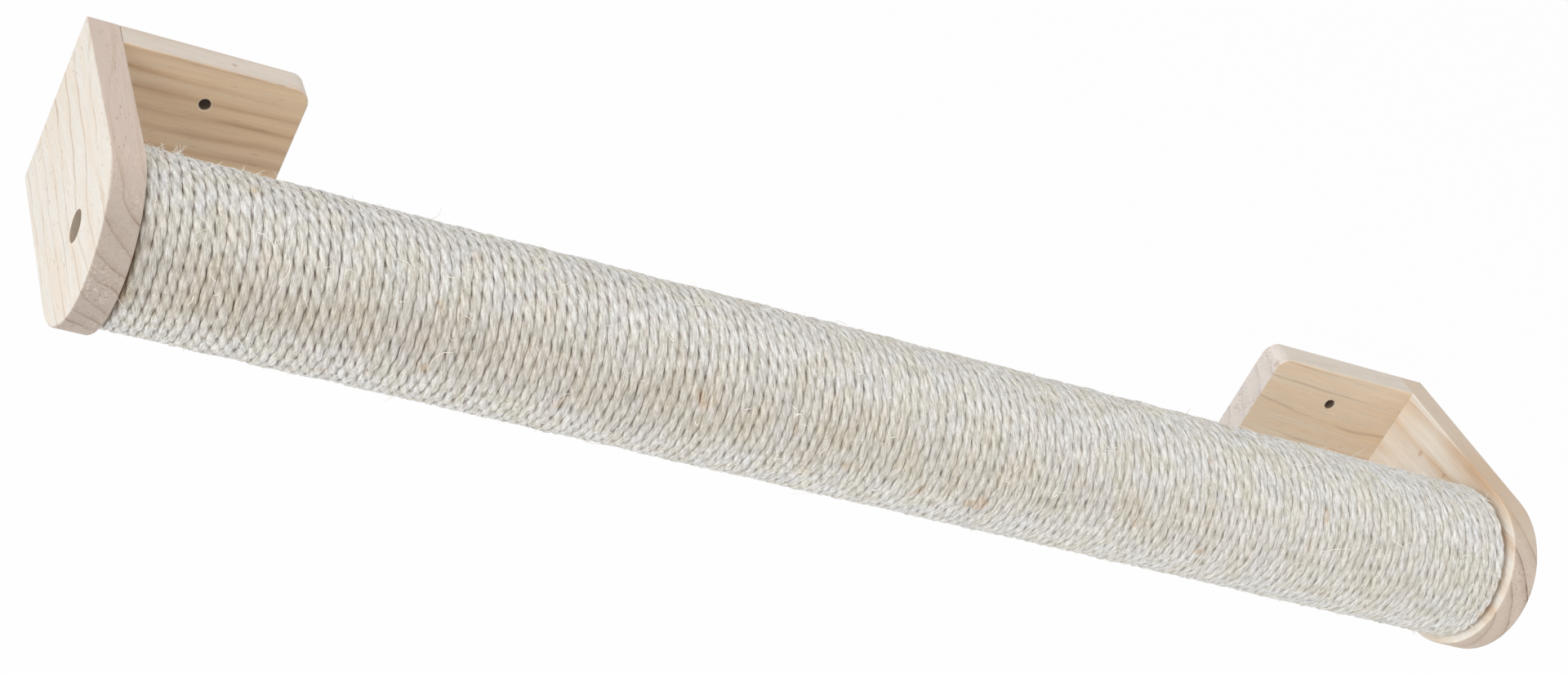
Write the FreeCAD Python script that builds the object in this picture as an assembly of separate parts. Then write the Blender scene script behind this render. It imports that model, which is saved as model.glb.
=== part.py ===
import FreeCAD, Part
import math
import os

from FreeCAD import Vector

# Wall-mounted cat scratching post: a rope-wound tube held level between two wooden L brackets.
# Millimetres. X runs along the post, +Y into the wall, +Z up.
# The origin lies on the wall plane, midway between the brackets, at the post's height.

# Driving sizes of the whole
post_length = 850.0
board_width = 100.0
board_depth = 175.0
board_thickness = 18.0

# Wall plates and their screw holes
plate_length = 104.0
plate_thickness = 18.0
plate_corner_radius = 9.0
screw_hole_diameter = 6.5
screw_spacing = 55.0
hole_rim_chamfer = 0.4

# Rounding worked onto the arrises of the boards and plates
eased_edge = 1.0

# Dowels that pin each plate's end into its board
dowel_diameter = 8.0
dowel_length = 30.0
dowel_in_board = 12.0
dowel_spacing = 60.0
dowel_chamfer = 1.0
dowel_end_gap = 0.5

# Core tube and the plugs in its ends
tube_diameter = 80.0
tube_wall = 4.0
plug_length = 30.0

# Rope wound on the tube
rope_diameter = 5.5
turn_gap = 0.5
wound_turns = 12
rope_sides = 6
points_per_turn = 48

# Bolt through each board into the threaded insert in the plug
bolt_diameter = 8.0
bolt_length = 28.0
bolt_head_diameter = 14.0
bolt_head_height = 4.4
bolt_head_rim_height = 1.2
hex_key_size = 5.0
hex_socket_depth = 2.6
bolt_hole_diameter = 9.0
recess_diameter = 17.0
recess_depth = 11.0
washer_diameter = 16.0
washer_hole_diameter = 8.6
washer_thickness = 1.6
insert_diameter = 12.0
insert_length = 20.0
insert_chamfer = 0.8

# Screws through the tube wall that hold each plug
plug_screw_count = 3
plug_screw_diameter = 3.5
plug_screw_head_diameter = 7.0
plug_screw_length = 16.0
plug_screw_tip = 3.0
plug_screw_inset = 14.0

# Clearances: a fitted piece in its hole, a thread in its thread, a curved face on a curved seat
fit_gap = 0.1
thread_gap = 0.05
seat_gap = 0.3

# How far a cutting tool runs past the face it leaves
overrun = 2.0

# Sizes that follow from those above
half_length = post_length / 2
board_radius = board_width / 2
post_y = -(board_depth - board_radius)
rope_radius = rope_diameter / 2
turn_pitch = rope_diameter + turn_gap
winding_radius = tube_diameter / 2 + seat_gap + rope_radius
winding_reach = seat_gap + wound_turns * turn_pitch + rope_diameter + turn_gap
along_x = Vector(1, 0, 0)


def rod_x(radius, start, end, y=post_y, z=0.0):
    """A round bar along X."""
    return Part.makeCylinder(radius, end - start, Vector(start, y, z), along_x)


def revolved_x(profile, start):
    """A solid turned about the post's axis from (distance along X, radius) points."""
    points = [Vector(start + x, post_y + radius, 0) for x, radius in profile]
    face = Part.Face(Part.makePolygon(points + points[:1]))
    return face.revolve(Vector(start, post_y, 0), along_x, 360)


def other_end(shape):
    """The same piece at the right end of the post."""
    return shape.mirror(Vector(0, 0, 0), along_x)


def edges_in_plane(shape, axis, value, tolerance=fit_gap):
    """The edges that lie wholly in the plane where one coordinate has a given value."""
    found = []
    for edge in shape.Edges:
        box = edge.BoundBox
        low = getattr(box, axis + "Min")
        high = getattr(box, axis + "Max")
        if abs(low - value) < tolerance and abs(high - value) < tolerance:
            found.append(edge)
    return found


def board_outline(x):
    """The end board's face: square at the wall, a half circle round the post's axis in front."""
    back_top = Vector(x, 0, board_radius)
    back_bottom = Vector(x, 0, -board_radius)
    arc_top = Vector(x, post_y, board_radius)
    arc_front = Vector(x, post_y - board_radius, 0)
    arc_bottom = Vector(x, post_y, -board_radius)
    edges = [
        Part.LineSegment(back_bottom, back_top).toShape(),
        Part.LineSegment(back_top, arc_top).toShape(),
        Part.Arc(arc_top, arc_front, arc_bottom).toShape(),
        Part.LineSegment(arc_bottom, back_bottom).toShape(),
    ]
    return Part.Face(Part.Wire(edges))


def dowel_heights():
    return (dowel_spacing / 2, -dowel_spacing / 2)


def dowel_holes():
    """Blind holes for the dowels, through the joint between board and plate."""
    start = -half_length - dowel_in_board - dowel_end_gap
    end = start + dowel_length + 2 * dowel_end_gap
    radius = dowel_diameter / 2 + fit_gap
    return [rod_x(radius, start, end, -plate_thickness / 2, z) for z in dowel_heights()]


def end_board():
    """Left end board, with the bolt's hole and recess and the dowels' blind holes."""
    outer_face = -half_length - board_thickness
    board = board_outline(outer_face).extrude(Vector(board_thickness, 0, 0))
    rims = edges_in_plane(board, "X", outer_face) + edges_in_plane(board, "X", -half_length)
    eased = [edge for edge in rims if edge.BoundBox.YMin < -fit_gap]
    board = board.makeFillet(eased_edge, eased)
    recess = rod_x(recess_diameter / 2, outer_face - overrun, outer_face + recess_depth)
    hole = rod_x(bolt_hole_diameter / 2, outer_face, -half_length + overrun)
    return board.cut([recess, hole] + dowel_holes())


def plate_outline():
    """The wall plate's face: butted square to the board, its two free corners round."""
    left = -half_length
    right = left + plate_length
    top = board_radius
    r = plate_corner_radius
    diagonal = r * (1 - math.sqrt(0.5))
    inner_top = Vector(left, 0, top)
    inner_bottom = Vector(left, 0, -top)
    round_top = Vector(right - r, 0, top)
    round_bottom = Vector(right - r, 0, -top)
    side_top = Vector(right, 0, top - r)
    side_bottom = Vector(right, 0, r - top)
    middle_top = Vector(right - diagonal, 0, top - diagonal)
    middle_bottom = Vector(right - diagonal, 0, diagonal - top)
    edges = [
        Part.LineSegment(inner_bottom, inner_top).toShape(),
        Part.LineSegment(inner_top, round_top).toShape(),
        Part.Arc(round_top, middle_top, side_top).toShape(),
        Part.LineSegment(side_top, side_bottom).toShape(),
        Part.Arc(side_bottom, middle_bottom, round_bottom).toShape(),
        Part.LineSegment(round_bottom, inner_bottom).toShape(),
    ]
    return Part.Face(Part.Wire(edges))


def screw_hole(z):
    """One wall screw's hole, its front rim lightly broken."""
    x = -half_length + plate_length / 2
    radius = screw_hole_diameter / 2
    into_wall = Vector(0, 1, 0)
    front = -plate_thickness
    bore = Part.makeCylinder(
        radius, plate_thickness + 2 * overrun, Vector(x, front - overrun, z), into_wall
    )
    rim_radius = radius + hole_rim_chamfer
    rim = Part.makeCone(rim_radius, radius, hole_rim_chamfer, Vector(x, front, z), into_wall)
    return bore.fuse(rim)


def wall_plate():
    """Left wall plate, with its screw holes and the dowels' blind holes."""
    plate = plate_outline().extrude(Vector(0, -plate_thickness, 0))
    front_edges = edges_in_plane(plate, "Y", -plate_thickness)
    eased = [edge for edge in front_edges if edge.BoundBox.XMax > -half_length + fit_gap]
    plate = plate.makeFillet(eased_edge, eased)
    holes = [screw_hole(screw_spacing / 2), screw_hole(-screw_spacing / 2)]
    return plate.cut(holes + dowel_holes())


def bracket_dowels():
    """The dowels of the left bracket, their ends chamfered."""
    start = -half_length - dowel_in_board
    dowels = []
    for z in dowel_heights():
        dowel = rod_x(dowel_diameter / 2, start, start + dowel_length, -plate_thickness / 2, z)
        rims = edges_in_plane(dowel, "X", start) + edges_in_plane(dowel, "X", start + dowel_length)
        dowels.append(dowel.makeChamfer(dowel_chamfer, rims))
    return Part.makeCompound(dowels)


def core_tube():
    """The tube that the rope is wound on, countersunk at both ends for the plug screws."""
    outer = rod_x(tube_diameter / 2, -half_length, half_length)
    bore = rod_x(tube_diameter / 2 - tube_wall, -half_length - overrun, half_length + overrun)
    left_screws = plug_screw_set(fit_gap)
    right_screws = [other_end(screw) for screw in left_screws]
    return outer.cut([bore] + left_screws + right_screws)


def tube_plug():
    """Left plug: a turned wooden disc, bored for the threaded insert and the bolt's tip."""
    radius = tube_diameter / 2 - tube_wall - fit_gap
    plug = rod_x(radius, -half_length, -half_length + plug_length)
    seat_end = -half_length + insert_length
    seat = rod_x(insert_diameter / 2 + fit_gap, -half_length - overrun, seat_end)
    tip_hole = rod_x(bolt_hole_diameter / 2, seat_end - overrun, seat_end + plug_length)
    return plug.cut([seat, tip_hole] + plug_screw_set(fit_gap))


def threaded_insert():
    """Left threaded insert, flush in the plug's face."""
    radius = insert_diameter / 2
    bore = bolt_diameter / 2 + thread_gap
    profile = [
        (0.0, bore + insert_chamfer),
        (0.0, radius - insert_chamfer),
        (insert_chamfer, radius),
        (insert_length - insert_chamfer, radius),
        (insert_length, radius - insert_chamfer),
        (insert_length, bore),
        (insert_chamfer, bore),
    ]
    return revolved_x(profile, -half_length)


def head_seat():
    """Where the bolt's head bears on its washer, along X."""
    return -half_length - board_thickness + recess_depth - washer_thickness


def bolt_washer():
    """Left washer, on the floor of the board's recess."""
    start = head_seat()
    ring = rod_x(washer_diameter / 2, start, start + washer_thickness)
    hole = rod_x(washer_hole_diameter / 2, start - overrun, start + washer_thickness + overrun)
    return ring.cut(hole)


def post_bolt():
    """Left bolt: a domed head with a hexagon socket, and its shank into the insert."""
    seat = head_seat()
    shank = rod_x(bolt_diameter / 2, seat, seat + bolt_length)
    tip = edges_in_plane(shank, "X", seat + bolt_length)
    shank = shank.makeChamfer(insert_chamfer, tip)
    dome_height = bolt_head_height - bolt_head_rim_height
    top_radius = hex_key_size
    rim = Vector(seat - bolt_head_rim_height, post_y + bolt_head_diameter / 2, 0)
    top = Vector(seat - bolt_head_height, post_y + top_radius, 0)
    bulge = Vector(
        seat - bolt_head_rim_height - dome_height * math.sqrt(0.5),
        post_y + top_radius + (bolt_head_diameter / 2 - top_radius) * math.sqrt(0.5),
        0,
    )
    centre_top = Vector(seat - bolt_head_height, post_y, 0)
    centre_seat = Vector(seat, post_y, 0)
    rim_seat = Vector(seat, post_y + bolt_head_diameter / 2, 0)
    edges = [
        Part.LineSegment(centre_seat, rim_seat).toShape(),
        Part.LineSegment(rim_seat, rim).toShape(),
        Part.Arc(rim, bulge, top).toShape(),
        Part.LineSegment(top, centre_top).toShape(),
        Part.LineSegment(centre_top, centre_seat).toShape(),
    ]
    head = Part.Face(Part.Wire(edges)).revolve(centre_seat, along_x, 360)
    return head.fuse(shank).removeSplitter().cut(hex_socket(seat - bolt_head_height))


def hex_socket(start):
    """The hexagon that a key turns, across flats of the key's size."""
    corner_radius = hex_key_size / 2 / math.cos(math.pi / 6)
    points = []
    for corner in range(6):
        angle = corner * math.pi / 3
        y = post_y + corner_radius * math.cos(angle)
        points.append(Vector(start - overrun, y, corner_radius * math.sin(angle)))
    face = Part.Face(Part.makePolygon(points + points[:1]))
    return face.extrude(Vector(overrun + hex_socket_depth, 0, 0))


def plug_screw(gap):
    """A countersunk screw that points down at the post's axis, or with a gap the hole it fits."""
    head = plug_screw_head_diameter / 2 + gap
    shank = plug_screw_diameter / 2 + gap
    top = math.sqrt((tube_diameter / 2) ** 2 - (plug_screw_head_diameter / 2) ** 2)
    neck = top - (plug_screw_head_diameter - plug_screw_diameter) / 2
    shoulder = top - plug_screw_length + plug_screw_tip
    point = top - plug_screw_length - gap
    x = -half_length + plug_screw_inset
    profile = [(0.0, top), (head, top), (shank, neck), (shank, shoulder), (0.0, point)]
    points = [Vector(x + radius, post_y, z) for radius, z in profile]
    face = Part.Face(Part.makePolygon(points + points[:1]))
    screw = face.revolve(Vector(x, post_y, 0), Vector(0, 0, 1), 360)
    if gap:
        screw = screw.fuse(Part.makeCylinder(head, overrun, Vector(x, post_y, top)))
    return screw


def plug_screw_set(gap=0.0):
    """The screws of the left plug, evenly spaced round the tube."""
    screws = []
    for place in range(plug_screw_count):
        screw = plug_screw(gap)
        turn = (place + 0.5) * 360 / plug_screw_count
        screw.rotate(Vector(0, post_y, 0), along_x, turn)
        screws.append(screw)
    return screws


def helix_point(start, turns):
    """A point on the rope's line, which climbs one pitch a turn along the tube."""
    angle = 2 * math.pi * turns
    y = post_y + winding_radius * math.cos(angle)
    return Vector(start + turn_pitch * turns, y, winding_radius * math.sin(angle))


def helix_direction(turns):
    angle = 2 * math.pi * turns
    climb = turn_pitch / (2 * math.pi)
    across = Vector(climb, -winding_radius * math.sin(angle), winding_radius * math.cos(angle))
    return across.normalize()


def arc_edge(start, direction, end):
    """The circular arc that leaves start in a given direction and passes through end."""
    chord = end - start
    side = chord - direction * chord.dot(direction)
    side.normalize()
    radius = chord.dot(chord) / (2 * chord.dot(side))
    centre = start + side * radius
    middle = (start - centre) + (end - centre)
    middle.normalize()
    return Part.Arc(start, centre + middle * radius, end).toShape()


def biarc_edges(start, leaving, end, arriving):
    """Two arcs that join two points and directions with no kink between them."""
    chord = end - start
    both = leaving + arriving
    spread = 2 * (1 - leaving.dot(arriving))
    along = chord.dot(both)
    reach = (math.sqrt(along**2 + spread * chord.dot(chord)) - along) / spread
    joint = (start + leaving * reach + end - arriving * reach) / 2
    second = arc_edge(end, arriving * -1, joint)
    return [arc_edge(start, leaving, joint), second]


def rope_turns(start):
    """One stretch of the winding: an unbroken tube whose two ends run straight."""
    first = helix_point(start, 0)
    last = helix_point(start, wound_turns)
    tail = first - helix_direction(0) * rope_diameter
    nose = last + helix_direction(wound_turns) * rope_diameter
    edges = [Part.LineSegment(tail, first).toShape()]
    for half in range(2 * wound_turns):
        here, there = half / 2, (half + 1) / 2
        edges += biarc_edges(
            helix_point(start, here),
            helix_direction(here),
            helix_point(start, there),
            helix_direction(there),
        )
    edges.append(Part.LineSegment(last, nose).toShape())
    spine = Part.Wire(Part.__sortEdges__(edges))
    section = rope_section(tail, helix_direction(0))
    return spine.makePipeShell([section], True, False), spine.Length


def rope_section(centre, direction):
    """The rope's faceted outline, square to its line."""
    outward = Vector(0, 1, 0)
    across = direction.cross(outward)
    across.normalize()
    points = []
    for corner in range(rope_sides):
        angle = 2 * math.pi * (corner + 0.5) / rope_sides
        spoke = outward * (rope_radius * math.cos(angle)) + across * (rope_radius * math.sin(angle))
        points.append(centre + spoke)
    return Part.makePolygon(points + points[:1])


def least_gap(start):
    """The smallest space between one turn of the rope and another."""
    count = wound_turns * points_per_turn
    points = [helix_point(start, place / points_per_turn) for place in range(count + 1)]
    least = min(
        points[low].distanceToPoint(points[high])
        for low in range(count + 1)
        for high in range(low + points_per_turn // 2, count + 1)
    )
    return least - rope_diameter


def rope_middle():
    """The long middle of the winding, as a plain sleeve of its size."""
    end = half_length - winding_reach
    outer = rod_x(winding_radius + rope_radius, -end, end)
    bore = rod_x(winding_radius - rope_radius, -end - overrun, end + overrun)
    return outer.cut(bore)


def make_parts():
    """Every piece of the post, by name."""
    board = end_board()
    plate = wall_plate()
    dowels = bracket_dowels()
    plug = tube_plug()
    insert = threaded_insert()
    bolt = post_bolt()
    washer = bolt_washer()
    screws = Part.makeCompound(plug_screw_set())
    left_start = -half_length + seat_gap + rope_radius
    right_start = half_length - winding_reach + turn_gap + rope_radius
    left_turns, rope_length = rope_turns(left_start)
    right_turns, _ = rope_turns(right_start)
    print("least gap between turns", round(least_gap(left_start), 3))
    print("rope in each wound end", round(rope_length, 1))
    return {
        "end_board_left": board,
        "end_board_right": other_end(board),
        "wall_plate_left": plate,
        "wall_plate_right": other_end(plate),
        "bracket_dowels_left": dowels,
        "bracket_dowels_right": other_end(dowels),
        "core_tube": core_tube(),
        "tube_plug_left": plug,
        "tube_plug_right": other_end(plug),
        "threaded_insert_left": insert,
        "threaded_insert_right": other_end(insert),
        "post_bolt_left": bolt,
        "post_bolt_right": other_end(bolt),
        "bolt_washer_left": washer,
        "bolt_washer_right": other_end(washer),
        "plug_screws_left": screws,
        "plug_screws_right": other_end(screws),
        "rope_turns_left": left_turns,
        "rope_turns_right": right_turns,
        "rope_middle": rope_middle(),
    }


os.makedirs("parts", exist_ok=True)
for name, shape in make_parts().items():
    volume = round(shape.Volume / 1000, 2)
    print(name, len(shape.Solids), "solids", volume, "cm3", "valid" if shape.isValid() else "NOT VALID")
    shape.exportStep("parts/" + name + ".step")
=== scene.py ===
import math

import bmesh
import bpy
import numpy as np
from mathutils import Euler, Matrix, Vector


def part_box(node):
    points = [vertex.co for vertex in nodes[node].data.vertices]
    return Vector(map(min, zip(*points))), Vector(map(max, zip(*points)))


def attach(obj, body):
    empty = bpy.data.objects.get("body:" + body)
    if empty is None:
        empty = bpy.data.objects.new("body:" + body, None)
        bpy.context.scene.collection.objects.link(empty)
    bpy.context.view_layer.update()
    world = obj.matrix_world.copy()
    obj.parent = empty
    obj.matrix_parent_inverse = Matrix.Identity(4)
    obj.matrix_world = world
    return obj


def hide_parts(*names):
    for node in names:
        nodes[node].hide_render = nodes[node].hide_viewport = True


# Wall-mounted cat scratching post: two pine brackets and a tube wound with sisal rope.
# Metres, X along the post, +Y into the wall, +Z up. A value is in millimetres where its note says mm.

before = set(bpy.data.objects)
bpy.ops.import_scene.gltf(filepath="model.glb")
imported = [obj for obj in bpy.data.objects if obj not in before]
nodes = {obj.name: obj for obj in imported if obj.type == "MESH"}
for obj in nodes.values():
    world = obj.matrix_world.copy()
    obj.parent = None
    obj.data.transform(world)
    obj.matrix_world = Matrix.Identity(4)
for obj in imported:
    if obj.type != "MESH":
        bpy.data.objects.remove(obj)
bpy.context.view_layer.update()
scene = bpy.context.scene
mm = 0.001
print("frame loaded:", len(nodes), "nodes")


def addObject(name, data):
    made = bpy.data.objects.new(name, data)
    scene.collection.objects.link(made)
    return made


def meshFrom(bm, name):
    mesh = bpy.data.meshes.new(name)
    bm.to_mesh(mesh)
    bm.free()
    return mesh


def aimFrom(place, aim):  # the turn that points a camera or a lamp
    ahead = Vector(aim) - Vector(place)
    return ahead.to_track_quat("-Z", "Y")


# Camera

cameraView = {
    "place": (-0.7646, -1.2730, 0.6487),
    "aim": (-0.2085, -0.1250, 0.0466),
    "roll": 26.07,  # degrees, the picture's top leans to the left
    "lens": 63.98,
    "sensor": 36.0,
    "shift": (0.15, -0.05),
}


def addCamera(view):
    data = bpy.data.cameras.new("camera")
    data.lens = view["lens"]
    data.sensor_width = view["sensor"]
    data.shift_x, data.shift_y = view["shift"]
    camera = addObject("camera", data)
    roll = Euler((0, 0, math.radians(view["roll"]))).to_matrix()
    camera.location = view["place"]
    camera.rotation_euler = (aimFrom(view["place"], view["aim"]).to_matrix() @ roll).to_euler()
    scene.camera = camera


addCamera(cameraView)
print("camera placed")


# Node helpers shared by the materials

def paint(red, green, blue):  # a colour as it shows on screen, 0 to 255, made linear
    shown = [v / 255 for v in (red, green, blue)]
    return [v / 12.92 if v <= 0.04045 else ((v + 0.055) / 1.055) ** 2.4 for v in shown] + [1.0]


def setInputs(tree, node, values):  # another node's output is linked, any other value is set
    for name, value in values.items():
        if isinstance(value, bpy.types.NodeSocket):
            tree.links.new(value, node.inputs[name])
        else:
            node.inputs[name].default_value = value


def addNode(tree, kind, values=None, **options):
    made = tree.nodes.new("ShaderNode" + kind)
    for name, value in options.items():
        setattr(made, name, value)
    setInputs(tree, made, values or {})
    return made


def calculate(tree, operation, first, second=0.0, third=0.0):
    return addNode(tree, "Math", {0: first, 1: second, 2: third}, operation=operation).outputs[0]


def multiply(tree, first, *others):
    for other in others:
        first = calculate(tree, "MULTIPLY", first, other)
    return first


def blendColours(tree, share, below, above, way="MIX"):
    values = {"Factor": share, 6: below, 7: above}
    return addNode(tree, "Mix", values, data_type="RGBA", blend_type=way, clamp_result=True).outputs[2]


def tint(tree, colour, by, share=1.0):
    return blendColours(tree, share, colour, by, "MULTIPLY")


def addRamp(tree, value, stops):  # stops are (place, brightness)
    ramp = addNode(tree, "ValToRGB", {"Fac": value})
    ends = ramp.color_ramp.elements
    while len(ends) < len(stops):
        ends.new(0.5)
    for stop, (place, level) in zip(ends, stops):
        stop.position = place
        stop.color = (level, level, level, 1)
    return ramp.outputs["Color"]


def addNoise(tree, vector, scale, detail=2.0, rough=0.5, stretch=(1, 1, 1)):
    spread = addNode(tree, "Mapping", {"Vector": vector, "Scale": stretch})
    values = {"Vector": spread.outputs[0], "Scale": scale, "Detail": detail, "Roughness": rough}
    return addNode(tree, "TexNoise", values).outputs[0]


def noiseRamp(tree, vector, noise, stops):
    return addRamp(tree, addNoise(tree, vector, *noise), stops)


def startMaterial(name):
    made = bpy.data.materials.new(name)
    made.use_nodes = True
    tree = made.node_tree
    return made, tree, tree.nodes["Principled BSDF"]


def addBump(tree, shader, height, relief):  # relief is the depth in mm and the strength
    depth, strength = relief
    bump = addNode(tree, "Bump", {"Height": height, "Distance": depth * mm, "Strength": strength})
    setInputs(tree, shader, {"Normal": bump.outputs[0]})


def dress(name, material):  # a CAD node keeps its mesh and takes a new finish
    slots = nodes[name].data.materials
    slots.clear()
    slots.append(material)


# In the dictionaries of finishes a noise is its scale, detail, roughness and stretch,
# a ramp is its stops of (place, brightness), and a relief is its depth in mm and its strength.

# Pine: growth rings round the heart of the log, drawn-out fibres, pores, knots, greyer rims and end grain

pine = {  # what all the boards share
    "ringWander": {"Detail": 3.0, "Detail Scale": 0.5, "Detail Roughness": 0.5},
    "earlyWood": (0.02, 0.04),  # how dark it is where it starts and where it ends
    "lateWoodEnd": [(0.93, 0.9), (0.99, 1.0)],  # darkest just before the next ring starts
    "edgeWidth": (0.3, 0.01),  # share of a ring that the softest edge takes, and the hardest
    "fading": (70, 3),  # the lines come and go
    "fadingContrast": (3.2, -1.0),
    "leastLine": 0.1,
    "leastEndLine": 0.5,
    "bands": (150, 2, 0.5, (1, 0.05, 1)),  # broad warm streaks
    "bandRamp": [(0.42, 0.0), (0.62, 0.9)],
    "bandTint": (1.0, 0.95, 0.89, 1),
    "fibres": (1100, 3, 0.65, (1, 0.018, 1)),
    "fibreRamp": [(0.3, 0.88), (0.7, 1.0)],
    "pores": (1000, 2, 0.6, (1, 0.12, 1)),
    "poreRamp": [(0.0, 0.0), (0.66, 0.0), (0.74, 1.0)],
    "poreColour": (138, 104, 76),
    "rimRamp": [(0.4, 1.0), (0.9, 0.0)],
    "rimLines": 0.5,  # share of the lines that rims keep
    "endRamp": [(0.12, 0.0), (0.82, 1.0)],
    "endLineRamp": [(0.0, 0.5), (0.05, 0.06), (0.45, 0.0), (0.86, 0.3), (0.97, 1.0)],
    "endLineColour": (126, 98, 80),
    "patches": (55, 1),  # where the end grain's specks and flecks gather
    "patchRamp": [(0.46, 0.25), (0.6, 1.0)],
    "specks": (520, 3, 0.8, (1, 0.5, 1)),
    "speckRamp": [(0.52, 0.0), (0.66, 0.4)],
    "speckColour": (128, 100, 82),
    # painted glints: pale specks of highlight scattered over the end grain
    "flecksAndGlints": (760, 2, 0.7),
    "fleckAndGlintRamp": [(0.56, 0.0), (0.62, 0.75)],
    "glintColour": (228, 216, 202),
    "knotReach": 2,  # of the knot's radius
    "knotNoise": (420, 3, 0.7),
    "knotUneven": 0.7,
    "knotRamp": [(0.35, 0.6), (0.5, 0.35), (0.62, 0.4), (0.85, 0.0)],
    "knotColour": (178, 132, 90),
    # painted warm light, reaching further along Y
    "warmLightStretch": (1, 0.6, 1),
    "warmLightRamp": [(0.0, 1.0), (0.4, 0.7), (1.0, 0.0)],
    "warmLightColour": (232, 200, 158),
    "boreEdge": 1.015,  # of the bore's radius
    "boreDeepening": (1.0, 1.2, 1.45),  # powers for red, green and blue, so that the painted shade in bores goes brown
    "tornReach": (0.5, 0.98),  # of the radius: how far the fibres tear, and from where
    "tornShare": 0.3,
    "tornColour": (240, 226, 204),
    "roughnessRamp": [(0.2, 0.52), (0.8, 0.68)],
    "specular": 0.35,
    "linesSunk": 0.5,
    "poresSunk": 1.2,
    "relief": (0.14, 0.7),
}

alongPost, intoWall = (1, 0, 0), (0, 1, 0)
plugWood = {  # the left plug's own values; each other board gives only those that differ
    "faces": alongPost,  # the way its two broad faces look
    "heart": (-410, -125, 30),  # mm, a place on the middle line of its log
    "tilt": (0, 0, 90),  # degrees, how that line is turned from Y
    "ring": 4.0,  # mm from one growth ring to the next
    "sharp": 0.6,  # place in a ring where the late wood starts
    "edge": 0.0,  # how softly it ends
    "waver": (4.5, 0.14),  # how far the rings wander, and how quickly along the log
    "lines": 0.7,  # strength of the late wood on the faces
    "endLines": 0.5,  # and on end grain
    "pores": 0.42,
    # strength of the painted glints on end grain
    "flecksAndGlints": 1.0,
    "early": (232, 214, 186),
    "late": (204, 176, 140),
    "rim": (222, 204, 178),
    "endGrain": (206, 186, 162),
    "bores": [],  # place and radius in mm
    "boreShade": 1.0,  # brightness that the painted shade leaves in them
    "knots": [],  # place and radius in mm
    "warmLight": [],  # painted warm light: place and reach in mm, and strength
}

pineBoards = {
    "end_board_left": {
        **plugWood, "heart": (-392, -60, 62), "tilt": (2, 0, 3),
        "ring": 9.5, "sharp": 0.84, "waver": (11.0, 0.3), "endLines": 0.6, "pores": 0.6, "flecksAndGlints": 0.6,
        "early": (233, 227, 218), "late": (196, 170, 142),
        "rim": (216, 197, 183), "endGrain": (184, 169, 157),
        "bores": [((0, -125, 0), 8.5)], "boreShade": 0.88,
    },
    "end_board_right": {
        **plugWood, "heart": (320, -80, -58.5), "tilt": (3, 0, -1),
        "ring": 10.6, "sharp": 0.35, "edge": 0.7, "waver": (3.0, 0.2),
        "lines": 0.75, "endLines": 0.8, "pores": 0.16, "flecksAndGlints": 0.3,
        # paler than the left board: painted light on its shadowed inner face
        "early": (255, 249, 239), "late": (222, 184, 142),
        "rim": (216, 199, 180), "endGrain": (205, 188, 172),
        "bores": [((0, -125, 0), 8.5)], "boreShade": 0.88,
        "knots": [((425, -52, 28), 2.2), ((425, -79, 31), 2.0)],
        # painted warm light on the inner face, towards its front
        "warmLight": [((425, -104, 46), 30.0, 0.4)],
    },
    "wall_plate_left": {
        **plugWood, "faces": intoWall, "heart": (-370, 40, 120), "tilt": (0, 2, 90),
        "ring": 9.0, "sharp": 0.55, "edge": 0.7, "waver": (6.0, 0.18), "endLines": 0.3,
        "early": (229, 204, 174), "late": (184, 148, 118),
        "rim": (225, 213, 199), "endGrain": (226, 214, 204),
        "bores": [((-373, 0, 27.5), 3.25), ((-373, 0, -27.5), 3.25)], "boreShade": 0.3,
        "knots": [((-364, -10, 50), 2.0)],
    },
    "wall_plate_right": {
        **plugWood, "faces": intoWall, "heart": (370, 60, -90), "tilt": (0, -3, 88),
        "ring": 12.0, "sharp": 0.9, "edge": 0.1, "waver": (9.0, 0.3),
        "lines": 0.4, "endLines": 0.25, "pores": 0.25,
        # paler than the left plate: painted light against the post's shadow on its front and end
        "early": (242, 222, 197), "late": (196, 168, 140),
        "rim": (224, 213, 200), "endGrain": (246, 236, 229),
        "bores": [((373, 0, 27.5), 3.25), ((373, 0, -27.5), 3.25)], "boreShade": 0.38,
        "knots": [((322, -16, 44), 2.5)],
    },
    "tube_plug_left": plugWood,
    "tube_plug_right": {**plugWood, "heart": (410, -125, -22), "ring": 4.4},
}


def facingShare(tree, normal, direction, stops):  # how far a surface faces a direction or its opposite
    facing = addNode(tree, "VectorMath", {0: normal, 1: direction}, operation="DOT_PRODUCT")
    return addRamp(tree, calculate(tree, "ABSOLUTE", facing.outputs["Value"]), stops)


def distanceTo(tree, where, spot, kept=(1, 1, 1)):  # in metres, each direction counted by its kept share
    flat = addNode(tree, "VectorMath", {0: where, 1: kept}, operation="MULTIPLY").outputs[0]
    target = [place * mm * share for place, share in zip(spot, kept)]
    return addNode(tree, "VectorMath", {0: flat, 1: target}, operation="DISTANCE").outputs["Value"]


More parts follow.
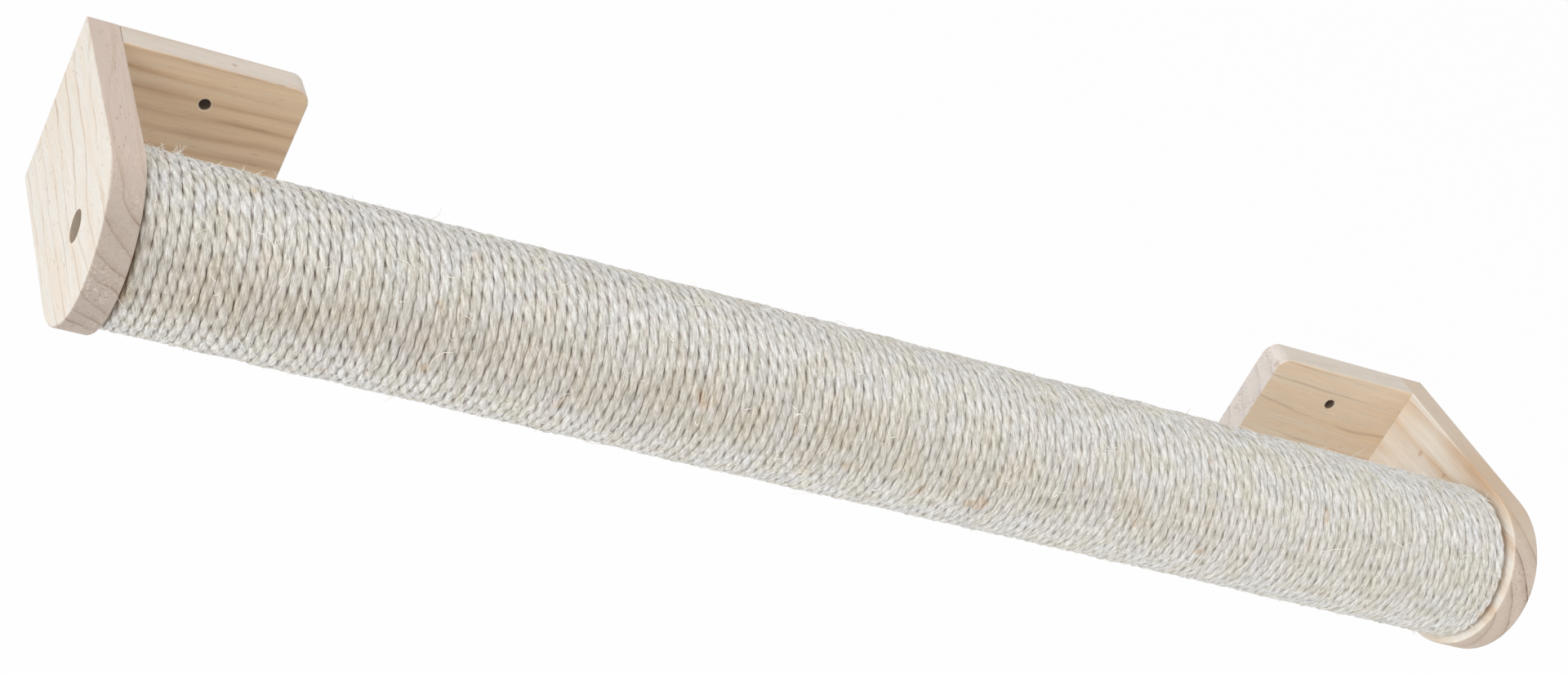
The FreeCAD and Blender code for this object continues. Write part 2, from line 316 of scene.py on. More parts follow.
def growthRings(tree, grain, wood):  # the rings, how strong they are in each place, and a face's lines
    wander, stretch = wood["waver"]
    drawn = addNode(tree, "Mapping", {"Vector": grain, "Scale": (1, stretch, 1)}).outputs[0]
    scale = math.pi / 10 / (wood["ring"] * mm)  # at scale 1 the wave's rings are pi / 10 apart
    values = {"Vector": drawn, "Scale": scale, "Distortion": wander, **pine["ringWander"]}
    wave = addNode(tree, "TexWave", values, wave_type="RINGS", rings_direction="Y", wave_profile="SAW")
    rings, edge = wave.outputs["Fac"], wood["edge"]
    softest, hardest = pine["edgeWidth"]
    startTone, endTone = pine["earlyWood"]
    earlyWood = [(softest * edge + hardest, startTone), (wood["sharp"], endTone)]
    stops = [(0.0, edge), *earlyWood, *pine["lateWoodEnd"]]
    fading = addNoise(tree, drawn, *pine["fading"])
    strength = calculate(tree, "MULTIPLY_ADD", fading, *pine["fadingContrast"])
    strength = calculate(tree, "MAXIMUM", strength, pine["leastLine"])
    return rings, strength, multiply(tree, addRamp(tree, rings, stops), strength, wood["lines"])


def faceColour(tree, grain, normal, lines, wood):  # the broad faces, and the rims along the grain
    colour = blendColours(tree, lines, paint(*wood["early"]), paint(*wood["late"]))
    bands = noiseRamp(tree, grain, pine["bands"], pine["bandRamp"])
    colour = blendColours(tree, bands, colour, tint(tree, colour, pine["bandTint"]))
    rimLines = multiply(tree, lines, pine["rimLines"])
    rim = blendColours(tree, rimLines, paint(*wood["rim"]), paint(*wood["late"]))
    return blendColours(tree, facingShare(tree, normal, wood["faces"], pine["rimRamp"]), colour, rim)


def endGrainColour(tree, grain, rings, strength, wood):
    strength = calculate(tree, "MAXIMUM", strength, pine["leastEndLine"])
    lines = multiply(tree, addRamp(tree, rings, pine["endLineRamp"]), strength, wood["endLines"])
    colour = blendColours(tree, lines, paint(*wood["endGrain"]), paint(*pine["endLineColour"]))
    patches = noiseRamp(tree, grain, pine["patches"], pine["patchRamp"])
    specks = multiply(tree, noiseRamp(tree, grain, pine["specks"], pine["speckRamp"]), patches)
    colour = blendColours(tree, specks, colour, paint(*pine["speckColour"]))
    # painted glints on the end grain
    flecksAndGlints = noiseRamp(tree, grain, pine["flecksAndGlints"], pine["fleckAndGlintRamp"])
    flecksAndGlints = multiply(tree, flecksAndGlints, patches, wood["flecksAndGlints"])
    return blendColours(tree, flecksAndGlints, colour, paint(*pine["glintColour"]))


def addKnotsAndWarmLight(tree, where, colour, wood):
    for spot, radius in wood["knots"]:
        reach = pine["knotReach"] * radius * mm
        away = calculate(tree, "DIVIDE", distanceTo(tree, where, spot), reach)
        uneven = addNoise(tree, where, *pine["knotNoise"])
        away = calculate(tree, "MULTIPLY_ADD", uneven, pine["knotUneven"], away)
        dark = addRamp(tree, away, pine["knotRamp"])
        colour = blendColours(tree, dark, colour, paint(*pine["knotColour"]))
    # painted warm light, fading with distance from its place
    for spot, reach, strength in wood["warmLight"]:
        away = calculate(tree, "DIVIDE", distanceTo(tree, where, spot, pine["warmLightStretch"]), reach * mm)
        warmLit = addRamp(tree, away, [(place, level * strength) for place, level in pine["warmLightRamp"]])
        colour = tint(tree, colour, paint(*pine["warmLightColour"]), warmLit)
    return colour


def shadeBores(tree, where, fibres, colour, wood):  # painted shade inside, pale where the drill tore the fibres
    across = [1 - share for share in wood["faces"]]
    tear, start = pine["tornReach"]
    for spot, radius in wood["bores"]:
        away = distanceTo(tree, where, spot, across)
        torn = calculate(tree, "MULTIPLY_ADD", fibres, tear * radius * mm, start * radius * mm)
        pale = multiply(tree, calculate(tree, "LESS_THAN", away, torn), pine["tornShare"])
        colour = blendColours(tree, pale, colour, paint(*pine["tornColour"]))
        # painted shade inside each bore
        inside = calculate(tree, "LESS_THAN", away, pine["boreEdge"] * radius * mm)
        boreShadeTint = [wood["boreShade"] ** power for power in pine["boreDeepening"]] + [1]
        colour = blendColours(tree, inside, colour, tint(tree, colour, boreShadeTint))
    return colour


def pineMaterial(name, wood):
    made, tree, shader = startMaterial(name)
    place = addNode(tree, "TexCoord")
    where, normal = place.outputs["Object"], place.outputs["Normal"]
    turn = Euler([math.radians(angle) for angle in wood["tilt"]])
    shift = -(turn.to_matrix() @ (Vector(wood["heart"]) * mm))
    grain = addNode(tree, "Mapping", {"Vector": where, "Rotation": turn, "Location": shift}).outputs[0]
    rings, strength, lines = growthRings(tree, grain, wood)
    fibres = addNoise(tree, grain, *pine["fibres"])
    pores = noiseRamp(tree, grain, pine["pores"], pine["poreRamp"])

    colour = faceColour(tree, grain, normal, lines, wood)
    endColour = endGrainColour(tree, grain, rings, strength, wood)
    logLength = turn.to_matrix().transposed() @ Vector((0, 1, 0))
    colour = blendColours(tree, facingShare(tree, normal, logLength, pine["endRamp"]), colour, endColour)
    colour = tint(tree, colour, addRamp(tree, fibres, pine["fibreRamp"]))
    colour = blendColours(tree, multiply(tree, pores, wood["pores"]), colour, paint(*pine["poreColour"]))
    colour = addKnotsAndWarmLight(tree, where, colour, wood)
    colour = shadeBores(tree, where, fibres, colour, wood)

    rough = addRamp(tree, fibres, pine["roughnessRamp"])
    finish = {"Base Color": colour, "Roughness": rough, "Specular IOR Level": pine["specular"]}
    setInputs(tree, shader, finish)
    sunkPores = multiply(tree, pores, pine["poresSunk"])
    sunk = calculate(tree, "MULTIPLY_ADD", lines, pine["linesSunk"], sunkPores)
    addBump(tree, shader, calculate(tree, "SUBTRACT", fibres, sunk), pine["relief"])
    return made


for woodName, wood in pineBoards.items():
    dress(woodName, pineMaterial("pine " + woodName.replace("_", " "), wood))
print("pine boards, plates and plugs finished")


# Beech dowels, kraft card tube and zinc-plated steel

beechLook = {
    "pale": (222, 190, 152), "dark": (178, 138, 100),
    "flecksAndGlints": (900, 2, 0.6, (0.12, 1, 1)), "fleckAndGlintRamp": [(0.45, 0.0), (0.7, 1.0)],
    "roughness": 0.6, "relief": (0.1, 0.5),
}
cardLook = {
    "pale": (176, 140, 100), "dark": (140, 106, 72), "pulp": (600, 4, 0.7),
    "wraps": {"Scale": 5.0, "Distortion": 0.4}, "seam": (104, 78, 54),
    "seamRamp": [(0.0, 1.0), (0.04, 0.0)], "roughness": 0.85, "relief": (0.1, 0.4),
}
zincLook = {
    "pale": (186, 186, 182), "dark": (150, 150, 148), "spangle": (500, 3, 0.6),
    "roughnessRamp": [(0.3, 0.28), (0.7, 0.45)], "relief": (0.03, 0.4),
}


def beechMaterial(look):
    made, tree, shader = startMaterial("beech dowel")
    where = addNode(tree, "TexCoord").outputs["Object"]
    flecksAndGlints = noiseRamp(tree, where, look["flecksAndGlints"], look["fleckAndGlintRamp"])
    colour = blendColours(tree, flecksAndGlints, paint(*look["pale"]), paint(*look["dark"]))
    setInputs(tree, shader, {"Base Color": colour, "Roughness": look["roughness"]})
    addBump(tree, shader, flecksAndGlints, look["relief"])
    return made


def cardMaterial(look):
    made, tree, shader = startMaterial("kraft card")
    where = addNode(tree, "TexCoord").outputs["Object"]
    pulp = addNoise(tree, where, *look["pulp"])
    wraps = addNode(tree, "TexWave", {"Vector": where, **look["wraps"]}, bands_direction="X")
    seams = addRamp(tree, wraps.outputs["Fac"], look["seamRamp"])
    colour = blendColours(tree, pulp, paint(*look["pale"]), paint(*look["dark"]))
    colour = blendColours(tree, seams, colour, paint(*look["seam"]))
    setInputs(tree, shader, {"Base Color": colour, "Roughness": look["roughness"]})
    addBump(tree, shader, pulp, look["relief"])
    return made


def zincMaterial(look):
    made, tree, shader = startMaterial("zinc plated steel")
    where = addNode(tree, "TexCoord").outputs["Object"]
    spangle = addNoise(tree, where, *look["spangle"])
    colour = blendColours(tree, spangle, paint(*look["pale"]), paint(*look["dark"]))
    rough = addRamp(tree, spangle, look["roughnessRamp"])
    setInputs(tree, shader, {"Base Color": colour, "Roughness": rough, "Metallic": 1.0})
    addBump(tree, shader, spangle, look["relief"])
    return made


beech, card, zinc = beechMaterial(beechLook), cardMaterial(cardLook), zincMaterial(zincLook)
dress("core_tube", card)
for side in ("left", "right"):
    dress("bracket_dowels_" + side, beech)
    for metalPiece in ("threaded_insert_", "post_bolt_", "bolt_washer_", "plug_screws_"):
        dress(metalPiece + side, zinc)
print("dowels, card tube and fixings finished")


# Sisal rope: one three-strand rope wound from end to end, in four lengths that meet

rope = {
    "turns": 144,
    "turnsEach": 36,
    "strands": 3,
    "halfHeight": 2.95,  # mm, from the rope's middle out to its crown
    "halfWidth": 3.3,  # mm, a little over half the pitch, so the turns press into each other
    "squareness": 4.2,  # 2 leaves the rope round, more presses it square between its neighbours
    "lay": 31.0,  # mm along the rope for a strand to go once round it
    "strandShare": 0.73,  # a strand's radius, as a share of the rope's
    "sides": 18,
    "stepsPerTurn": 150,
    "fibreLean": 0.2,  # of the strands' own lean, so the fibres lie nearly along the rope
    "sway": 0.13,  # mm, how far turns wander along the post
    "swayEvery": 90,  # mm of rope
    "lift": 0.12,  # mm, how far they stand in or out
    "liftEvery": 60,  # mm of rope
    "swell": 0.28,  # mm, how far the whole winding does
    "swellEvery": 3.0,  # turns
    "untwist": 2.2,  # radians that the twist runs ahead or behind by
    "untwistEvery": 75,  # mm of rope
    "uneven": 0.06,  # share that the strands' thickness varies by
    "unevenEvery": 45,  # mm of rope
    "bundleHeight": 0.26,  # mm, how far bundles of fibre stand in or out
    "bundleLength": 4.5,  # mm
    "bundlesRound": 12,
    "endGap": 3.0,  # mm from the board to the middle of the first turn
    "weld": 0.001,  # mm
    "patternShift": 7,  # times round the rope for each turn before a length, so that no two match
    "bakeGap": (0.002, 0.02),  # left free at the ends and at each side of a turn's strip
    "seeds": {"lift": 1, "sway": 2, "untwist": 3, "uneven": 4, "bundles": 9, "swell": 12},
    "spareValues": (3, 5),  # random values kept before the first turn and after the last one
    "spareRows": (1, 3),  # and rows of bundles
}

tubeLow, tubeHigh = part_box("core_tube")
postLine = Vector((0, (tubeLow.y + tubeHigh.y) / 2, (tubeLow.z + tubeHigh.z) / 2))
windingRadius = (tubeHigh.z - tubeLow.z) / 2 + rope["halfHeight"] * mm
firstTurn = tubeLow.x + rope["endGap"] * mm
pitch = (tubeHigh.x - tubeLow.x - 2 * rope["endGap"] * mm) / rope["turns"]
turnLength = math.hypot(2 * math.pi * windingRadius, pitch)
ropeGirth = 2 * math.pi * rope["halfHeight"] * mm


def easeShare(share):  # from 0 to 1 with no corner at either end
    return share * share * (3 - 2 * share)


def wander(along, every, seed):  # smooth random values from -1 to 1, a new one at each interval
    before, after = rope["spareValues"]
    count = int(turnLength * rope["turns"] / every) + before + after
    values = np.random.default_rng(seed).uniform(-1, 1, count)
    place = along / every + before
    low = np.floor(place).astype(int)
    share = easeShare(place - low)
    return values[low] * (1 - share) + values[low + 1] * share


def bundleHeights(along, angle):  # the same over the rope's surface, drawn out along it
    count = rope["bundlesRound"]
    every = rope["bundleLength"] * mm
    before, after = rope["spareRows"]
    rows = int(turnLength * rope["turns"] / every) + before + after
    values = np.random.default_rng(rope["seeds"]["bundles"]).uniform(-1, 1, (rows, count))
    row, column = along / every + before, angle / (2 * math.pi) * count
    lowRow, lowColumn = np.floor(row).astype(int), np.floor(column).astype(int)
    up, over = easeShare(row - lowRow), easeShare(column - lowColumn)
    left, right = lowColumn % count, (lowColumn + 1) % count
    near = values[lowRow, left] * (1 - over) + values[lowRow, right] * over
    far = values[lowRow + 1, left] * (1 - over) + values[lowRow + 1, right] * over
    return near * (1 - up) + far * up


def ropeLine(turns):  # the rope's middle, outward and sideways directions, at places counted in turns
    along, angle, seeds = turns * turnLength, 2 * math.pi * turns, rope["seeds"]
    out = np.stack([np.zeros_like(angle), np.cos(angle), np.sin(angle)], 1)
    lift = rope["lift"] * mm * wander(along, rope["liftEvery"] * mm, seeds["lift"])
    lift += rope["swell"] * mm * wander(along, rope["swellEvery"] * turnLength, seeds["swell"])
    sway = rope["sway"] * mm * wander(along, rope["swayEvery"] * mm, seeds["sway"])
    middle = out * (windingRadius + lift)[:, None] + np.array(postLine)
    middle[:, 0] = firstTurn + pitch * turns + sway
    ahead = np.stack([np.full_like(angle, pitch / turnLength), -np.sin(angle), np.cos(angle)], 1)
    return middle, out, np.cross(ahead, out)


def strandProfile(sides):  # distance of the rope's surface from its middle, round its strands
    place = (np.arange(sides) / sides * rope["strands"]) % 1 - 0.5  # across one strand, 0 on its crown
    angle = place * 2 * math.pi / rope["strands"]
    reach = rope["strandShare"]
    offset = 1 - reach
    return offset * np.cos(angle) + np.sqrt(reach**2 - (offset * np.sin(angle)) ** 2)


def ropeSurface(turns):  # places over the rope, and how far each looks outwards, by turn and side
    along, sides, power, seeds = turns * turnLength, rope["sides"], rope["squareness"], rope["seeds"]
    middle, out, sideway = ropeLine(turns)
    untwist = rope["untwist"] * wander(along, rope["untwistEvery"] * mm, seeds["untwist"])
    twist = -2 * math.pi * along / (rope["lay"] * mm) + untwist
    every = rope["unevenEvery"] * mm
    uneven = [wander(along, every, seeds["uneven"] + strand) for strand in range(rope["strands"])]
    fat = np.stack([1 + rope["uneven"] * values for values in uneven], 1)
    around = np.arange(sides + 1) % sides
    angle = twist[:, None] + (2 * math.pi * around / sides)[None, :]
    outward, sideward = np.cos(angle), np.sin(angle)
    pressed = np.abs(outward / rope["halfHeight"]) ** power + np.abs(sideward / rope["halfWidth"]) ** power
    thickness = fat[:, around * rope["strands"] // sides]
    distance = strandProfile(sides)[around][None, :] * thickness * pressed ** (-1 / power)
    distance = (distance + rope["bundleHeight"] * bundleHeights(along[:, None], angle)) * mm
    spot = middle[:, None, :] + out[:, None, :] * (distance * outward)[:, :, None]
    spot += sideway[:, None, :] * (distance * sideward)[:, :, None]
    return spot, outward


def unrollRope(bm, step, column, startTurn, count):  # one map for the pattern, and one for baking
    patternMap = bm.loops.layers.uv.new("ropeWay")
    bakeMap = bm.loops.layers.uv.new("OFBake")
    endGap, sideGap = rope["bakeGap"]
    for face in bm.faces:
        corners = [loop.vert.index for loop in face.loops]
        strip = int(step[corners].min() // rope["stepsPerTurn"])  # each turn bakes to a strip of its own
        for loop, corner in zip(face.loops, corners):
            share = column[corner] / rope["sides"]
            turn = step[corner] / rope["stepsPerTurn"]
            loop[patternMap].uv = (turn * turnLength / ropeGirth, share + rope["patternShift"] * startTurn)
            across = endGap + (1 - 2 * endGap) * (turn - strip)
            loop[bakeMap].uv = (across, (strip + sideGap + (1 - 2 * sideGap) * share) / count)


def ropePiece(name, startTurn, count):
    steps, sides = rope["stepsPerTurn"] * count, rope["sides"]
    bm = bmesh.new()
    bmesh.ops.create_grid(bm, x_segments=steps, y_segments=sides, size=0.5, calc_uvs=False)
    bm.verts.ensure_lookup_table()
    flat = np.array([v.co for v in bm.verts])
    step = np.rint((flat[:, 0] + 0.5) * steps).astype(int)
    column = np.rint((flat[:, 1] + 0.5) * sides).astype(int)
    spot, outward = ropeSurface(startTurn + np.arange(steps + 1) / rope["stepsPerTurn"])
    crown = bm.verts.layers.float.new("crown")  # 1 on the outside of a turn, 0 beside the next turn
    unrollRope(bm, step, column, startTurn, count)
    for vert, row, place in zip(bm.verts, step, column):
        vert.co = spot[row, place]
        vert[crown] = outward[row, place]
    bmesh.ops.remove_doubles(bm, verts=bm.verts, dist=rope["weld"] * mm)
    rims = [edge for edge in bm.edges if edge.is_boundary]
    bmesh.ops.holes_fill(bm, edges=rims, sides=0)
    bmesh.ops.recalc_face_normals(bm, faces=bm.faces)
    for face in bm.faces:
        face.smooth = len(face.verts) == 4
    return addObject(name, meshFrom(bm, name))


sisalLook = {
    "fibres": (40, 3, 0.8, (0.14, 1, 1)),
    "fibreRamp": [(0.3, 0.6), (0.46, 0.95), (0.6, 1.0)],
    "bundles": (15, 3, 0.75, (0.16, 1, 1)),
    "bundleRamp": [(0.42, 0.0), (0.6, 1.0)],
    "pale": (248, 246, 243),
    "straw": (204, 200, 190),
    "casts": [  # faint casts of colour, and where in the noise each one lies
        ((246, 248, 254), 0.0),
        ((249, 250, 243), 31.0),
        ((250, 245, 234), 57.0),
    ],
    "castNoise": (70, 2, 0.6, (1, 0.8, 0.8)),
    "castRamp": [(0.46, 0.0), (0.66, 0.6)],
    "midBand": (226, 220, 211),  # a darker, warmer band at the post's middle height, stronger to the left
    "midBandHeight": 9.0,  # mm above the post's middle
    "midBandHalf": 32.0,  # mm
    "midBandRamp": [(0.0, 1.0), (0.25, 0.9), (1.0, 0.0)],
    "midBandShare": (0.68, -0.8),  # at the post's middle, and change per metre to the right
    "midBandPatches": (26, 3, 0.6, (0.6, 1, 1)),
    "midBandPatchRamp": [(0.3, 0.8), (0.7, 1.25)],
    # slits between bundles of fibre, sunk in the relief and darkened with painted shade
    "shadedSlits": (20, 2, 0.6, (0.14, 1, 1)),
    "shadedSlitRamp": [(0.0, 1.0), (0.34, 1.0), (0.43, 0.0)],
    "slitShadeByCrown": [(0.5, 1.0), (0.72, 0.6), (0.9, 0.06)],  # painted shade: most slits open, and darkest, beside the next turn
    "grooveUneven": 0.4,
    "grooveShadeRamp": [(0.7, 0.0), (1.0, 0.62)],  # painted shade in the grooves between the strands
    "grooveShadeByCrown": [(0.5, 1.0), (0.7, 0.8), (0.9, 0.3)],
    "seamShadeByCrown": [(0.56, 0.2), (0.7, 0.0)],  # painted shade in the seams between the turns
    "slitShadeShare": (0.5, -0.9),  # how dark the painted shade in slits is at the post's middle, and change per metre to the right
    "leastSlitShade": 0.38,
    "slitShadeColour": (112, 92, 72),
    "specks": (24, 1, 0.5, (0.16, 1, 1)),
    "speckRamp": [(0.7, 0.0), (0.75, 0.8)],
    "speck": (138, 98, 62),
    "stains": (62, 2, 0.5, (1, 0.8, 0.8)),
    "stainRamp": [(0.69, 0.0), (0.76, 0.5)],
    "stain": (238, 204, 164),
    "roughness": 0.55,
    "specular": 0.5,
    "bundleRelief": -1.2,
    "relief": (0.28, 1.0),
}


def midBandShare(tree, where, place, look):
    offMiddle = calculate(tree, "SUBTRACT", place.outputs["Z"], look["midBandHeight"] * mm)
    offMiddle = calculate(tree, "ABSOLUTE", offMiddle)
    band = addRamp(tree, calculate(tree, "DIVIDE", offMiddle, look["midBandHalf"] * mm), look["midBandRamp"])
    middleShare, change = look["midBandShare"]
    share = calculate(tree, "MULTIPLY_ADD", place.outputs["X"], change, middleShare)
    return multiply(tree, band, share, noiseRamp(tree, where, look["midBandPatches"], look["midBandPatchRamp"]))


def ropeGapShade(tree, fibreWay, around, fibres, look):  # painted shade in the slits between bundles, the grooves between strands and the seams between turns
    crown = addNode(tree, "Attribute", attribute_name="crown").outputs["Fac"]
    shadedSlits = noiseRamp(tree, fibreWay, look["shadedSlits"], look["shadedSlitRamp"])
    shadedSlits = multiply(tree, shadedSlits, addRamp(tree, crown, look["slitShadeByCrown"]))
    strandPlace = calculate(tree, "FRACT", multiply(tree, around, rope["strands"]))
    valley = calculate(tree, "ABSOLUTE", calculate(tree, "MULTIPLY_ADD", strandPlace, 2.0, -1.0))
    valley = calculate(tree, "MULTIPLY_ADD", fibres, look["grooveUneven"], valley)
    grooveShade = addRamp(tree, valley, look["grooveShadeRamp"])
    grooveShade = multiply(tree, grooveShade, addRamp(tree, crown, look["grooveShadeByCrown"]))
    gapShade = calculate(tree, "MAXIMUM", grooveShade, addRamp(tree, crown, look["seamShadeByCrown"]))
    return calculate(tree, "MAXIMUM", shadedSlits, gapShade)


def sisalMaterial(look):
    made, tree, shader = startMaterial("natural sisal")
    where = addNode(tree, "TexCoord").outputs["Object"]
    place = addNode(tree, "SeparateXYZ", {"Vector": where})
    way = addNode(tree, "SeparateXYZ", {"Vector": addNode(tree, "UVMap", uv_map="ropeWay").outputs[0]})
    along, around = way.outputs["X"], way.outputs["Y"]
    slant = (rope["fibreLean"] - 1) * ropeGirth / (rope["lay"] * mm)
    turned = calculate(tree, "MULTIPLY_ADD", along, slant, around)
    fibreWay = addNode(tree, "CombineXYZ", {"X": along, "Y": turned}).outputs[0]
    fibres = addNoise(tree, fibreWay, *look["fibres"])
    bundles = addNoise(tree, fibreWay, *look["bundles"])

    straw = addRamp(tree, bundles, look["bundleRamp"])
    colour = blendColours(tree, straw, paint(*look["pale"]), paint(*look["straw"]))
    for cast, shift in look["casts"]:
        moved = addNode(tree, "VectorMath", {0: where, 1: (shift, 0, 0)}, operation="ADD").outputs[0]
        share = noiseRamp(tree, moved, look["castNoise"], look["castRamp"])
        colour = tint(tree, colour, paint(*cast), share)
    # darker band at the post's middle height, stronger to the left
    colour = tint(tree, colour, paint(*look["midBand"]), midBandShare(tree, where, place, look))
    colour = tint(tree, colour, addRamp(tree, fibres, look["fibreRamp"]))
    # painted shade darkens the slits, grooves and seams, less to the right
    shadedSlits = ropeGapShade(tree, fibreWay, around, fibres, look)
    middleShare, change = look["slitShadeShare"]
    depth = calculate(tree, "MULTIPLY_ADD", place.outputs["X"], change, middleShare)
    depth = calculate(tree, "MAXIMUM", depth, look["leastSlitShade"])
    colour = blendColours(tree, multiply(tree, shadedSlits, depth), colour, paint(*look["slitShadeColour"]))
    specks = noiseRamp(tree, fibreWay, look["specks"], look["speckRamp"])
    colour = blendColours(tree, specks, colour, paint(*look["speck"]))
    stains = noiseRamp(tree, where, look["stains"], look["stainRamp"])
    colour = tint(tree, colour, paint(*look["stain"]), stains)

    finish = {"Base Color": colour, "Roughness": look["roughness"], "Specular IOR Level": look["specular"]}
    setInputs(tree, shader, finish)
    height = calculate(tree, "MULTIPLY_ADD", bundles, look["bundleRelief"], fibres)
    addBump(tree, shader, calculate(tree, "SUBTRACT", height, shadedSlits), look["relief"])
    return made


sisal = sisalMaterial(sisalLook)
for startTurn in range(0, rope["turns"], rope["turnsEach"]):
    number = startTurn // rope["turnsEach"] + 1
    length = ropePiece("sisal_rope_" + str(number), startTurn, rope["turnsEach"])
    length.data.materials.append(sisal)
    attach(length, "root")
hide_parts("rope_turns_left")
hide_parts("rope_middle")
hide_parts("rope_turns_right")


# Stray fibres that stand off the rope

strays = {
    "kinds": {  # how many, and their length in mm
        "long": {"count": 70, "length": (9.0, 24.0), "flatter": 0.4, "straighter": 0.5},
        "short": {"count": 620, "length": (2.0, 7.0)},
        "end": {"count": 60, "length": (3.0, 9.0)},  # beside the boards
        "tuft": {"count": 30, "length": (3.0, 8.0), "lifted": 0.3},
        "tangle": {"count": 360, "length": (2.5, 6.0)},
    },
    "standOff": (0.05, 0.55),  # how far they point outwards
    "curl": 1.1,
    "pull": 0.4,  # how far they bend back to the rope
    "curlStep": 0.35,  # share of both at each point
    "root": 0.85,  # of the rope's half height
    "offEnds": 0.5,  # turns left free at both ends of the post
    "leftShare": 0.3,  # of the fibres beside the boards
    "tangles": 75,  # places where loose fibres gather
    "tanglesOffEnds": 2,  # turns
    "tangleOver": (-1, 2),  # from one turn before the place to the one after it
    "tangleSpread": 0.008,  # turns
    "tuftTurn": 1.17,  # where the rope's frayed end comes out, in turns from the left
    "tuftOver": (-1, 3),
    "tuftSpread": 0.012,  # turns
    "thickness": 0.25,  # mm, a fibre's radius
    "stout": (0.6, 1.4),  # share of that, from fibre to fibre
    "taper": 0.6,  # share of it lost by the tip
    "points": 5,
    "seed": 11,
    "pale": (255, 254, 250),
    "straw": (238, 228, 206),
    "tone": (90, 2, 0.5),
    "toneRamp": [(0.4, 0.0), (0.65, 1.0)],
    "roughness": 0.5,
}


def strayPlaces(rng, plan):  # what each fibre is, and where it starts, in turns
    kinds = [kind for kind, values in plan["kinds"].items() for index in range(values["count"])]
    turns = rng.uniform(plan["offEnds"], rope["turns"] - plan["offEnds"], len(kinds))
    inner = plan["tanglesOffEnds"]
    tangles = rng.uniform(inner, rope["turns"] - inner, plan["tangles"])
    for index, kind in enumerate(kinds):
        if kind == "end":
            atLeft = rng.uniform() < plan["leftShare"]
            inside = rng.uniform(0, 1)
            turns[index] = inside if atLeft else rope["turns"] - inside
        if kind == "tuft":
            over = rng.integers(*plan["tuftOver"])
            turns[index] = plan["tuftTurn"] + over + rng.normal(0, plan["tuftSpread"])
        if kind == "tangle":
            middle = tangles[index % plan["tangles"]]
            over = rng.integers(*plan["tangleOver"])
            turns[index] = middle + over + rng.normal(0, plan["tangleSpread"])
    return kinds, turns


def strayFibres(name, plan):
    rng = np.random.default_rng(plan["seed"])
    curve = bpy.data.curves.new(name, "CURVE")
    curve.dimensions = "3D"
    curve.bevel_depth = plan["thickness"] * mm
    curve.bevel_resolution = 0
    curve.use_fill_caps = True
    kinds, turns = strayPlaces(rng, plan)
    middle, out, side = ropeLine(turns)
    steps = plan["points"] - 1
    for index, kind in enumerate(kinds):
        values = plan["kinds"][kind]
        length = rng.uniform(*values["length"]) * mm
        lean = rng.uniform(0, 2 * math.pi)
        rise = (rng.uniform(*plan["standOff"]) + values.get("lifted", 0)) * values.get("flatter", 1)
        forward = np.cross(out[index], side[index])
        heading = forward * math.cos(lean) + side[index] * math.sin(lean) + out[index] * rise
        bend = (rng.normal(0, plan["curl"], 3) - out[index] * plan["pull"]) * values.get("straighter", 1)
        stout = rng.uniform(*plan["stout"])
        spot = middle[index] + out[index] * rope["halfHeight"] * mm * plan["root"]
        spline = curve.splines.new("POLY")
        spline.points.add(steps)
        for place, point in enumerate(spline.points):
            point.co = (*spot, 1)
            point.radius = stout * (1 - plan["taper"] * place / steps)
            heading = heading / np.linalg.norm(heading)
            spot = spot + heading * length / steps
            heading = heading + bend * plan["curlStep"]
    return addObject(name, curve)


def strayMaterial(look):
    made, tree, shader = startMaterial("stray sisal fibre")
    where = addNode(tree, "TexCoord").outputs["Object"]
    tone = noiseRamp(tree, where, look["tone"], look["toneRamp"])
    colour = blendColours(tree, tone, paint(*look["pale"]), paint(*look["straw"]))
    setInputs(tree, shader, {"Base Color": colour, "Roughness": look["roughness"]})
    return made


fuzz = strayFibres("stray_fibres", strays)
fuzz.data.materials.append(strayMaterial(strays))
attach(fuzz, "root")
print("stray fibres added")


# Studio: pale floor, soft lamps, white beyond

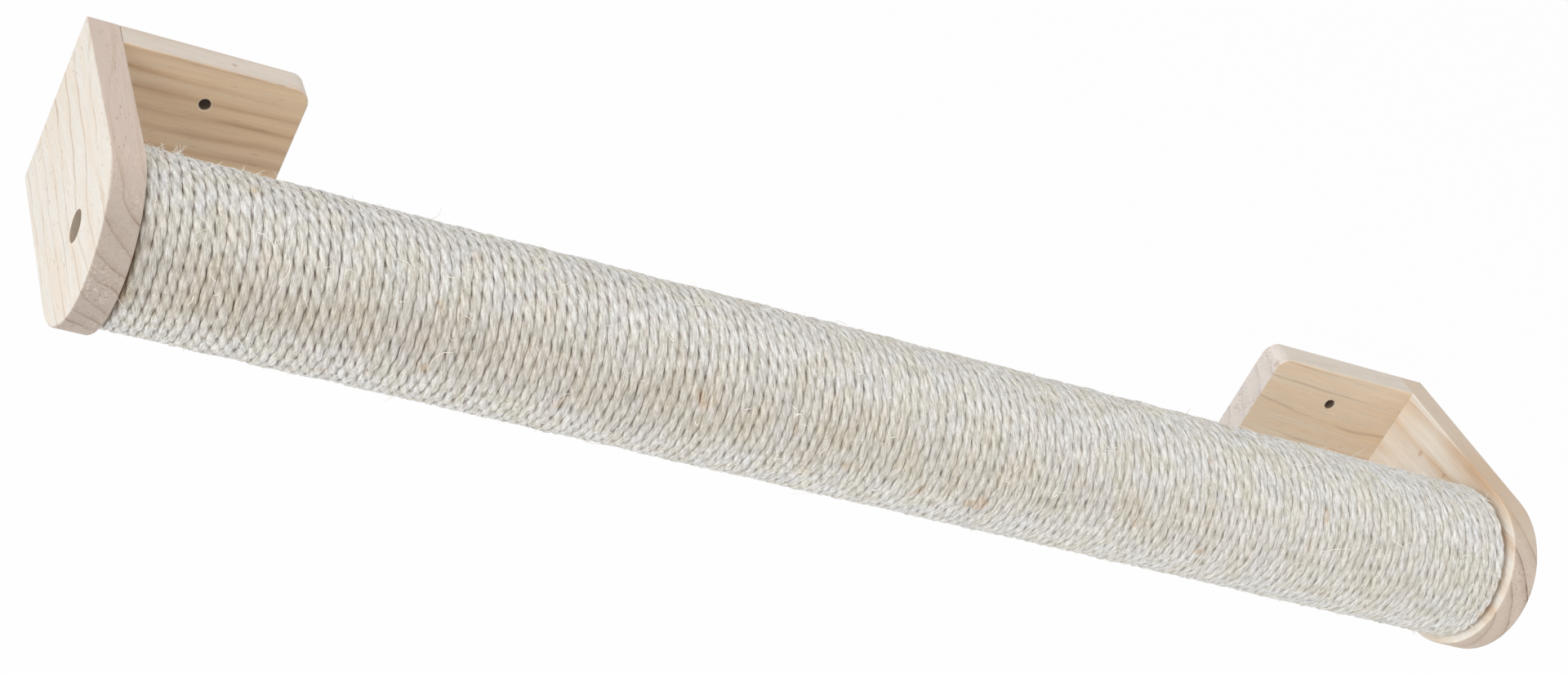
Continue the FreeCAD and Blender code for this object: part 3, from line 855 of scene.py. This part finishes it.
studio = {
    "floorHeight": -0.6,
    "floorHalf": 6.0,
    "floorColour": (238, 238, 238),
    "floorRoughness": 0.9,
    "floorWhite": 0.97,  # share of plain white that the floor shows to the camera
    "fill": 0.58,  # light from all round
    "lampAim": (0, -0.12, 0),
    "lamps": {  # place, size in metres, watts, colour
        "left key": ((-2.1, -0.9, 0.45), 1.6, 22.0, (1, 1, 1)),
        "top": ((0.1, -0.3, 1.7), 1.8, 9.5, (1, 1, 1)),
        "front fill": ((0.7, -1.9, 0.3), 1.6, 7.5, (1, 1, 1)),
        "low fill": ((0.1, -1.0, -0.55), 1.2, 2.6, (0.9, 0.95, 1)),
    },
}


def seenDirectly(tree):  # 1 for what the camera sees straight, mirrored or through glass
    rays = addNode(tree, "LightPath")
    most = calculate(tree, "MAXIMUM", rays.outputs["Is Camera Ray"], rays.outputs["Is Glossy Ray"])
    return calculate(tree, "MAXIMUM", most, rays.outputs["Is Transmission Ray"])


def addFloor(plan):
    bm = bmesh.new()
    bmesh.ops.create_grid(bm, x_segments=1, y_segments=1, size=plan["floorHalf"])
    bmesh.ops.translate(bm, verts=bm.verts, vec=(0, 0, plan["floorHeight"]))
    floor = addObject("floor", meshFrom(bm, "floor"))
    made, tree, shader = startMaterial("pale floor")
    colour = paint(*plan["floorColour"])
    setInputs(tree, shader, {"Base Color": colour, "Roughness": plan["floorRoughness"]})
    white = addNode(tree, "Emission", {"Color": (1, 1, 1, 1), "Strength": 1.0})
    share = multiply(tree, seenDirectly(tree), plan["floorWhite"])
    both = addNode(tree, "MixShader", {0: share, 1: shader.outputs[0], 2: white.outputs[0]})
    setInputs(tree, tree.nodes["Material Output"], {"Surface": both.outputs[0]})
    floor.data.materials.append(made)


def addSky(plan):  # white to the camera, and the fill for everything else
    sky = bpy.data.worlds.new("studio")
    scene.world = sky
    sky.use_nodes = True
    tree = sky.node_tree
    level = calculate(tree, "MULTIPLY_ADD", seenDirectly(tree), 1 - plan["fill"], plan["fill"])
    setInputs(tree, tree.nodes["Background"], {"Color": (1, 1, 1, 1), "Strength": level})


def addLamps(plan):
    for name, (place, size, power, colour) in plan["lamps"].items():
        data = bpy.data.lights.new(name, "AREA")
        data.color = colour
        data.size = size
        data.energy = power
        lamp = addObject(name, data)
        lamp.location = place
        lamp.rotation_euler = aimFrom(place, plan["lampAim"]).to_euler()


addFloor(studio)
addSky(studio)
addLamps(studio)
scene.view_settings.view_transform = "Standard"
print("studio lit")
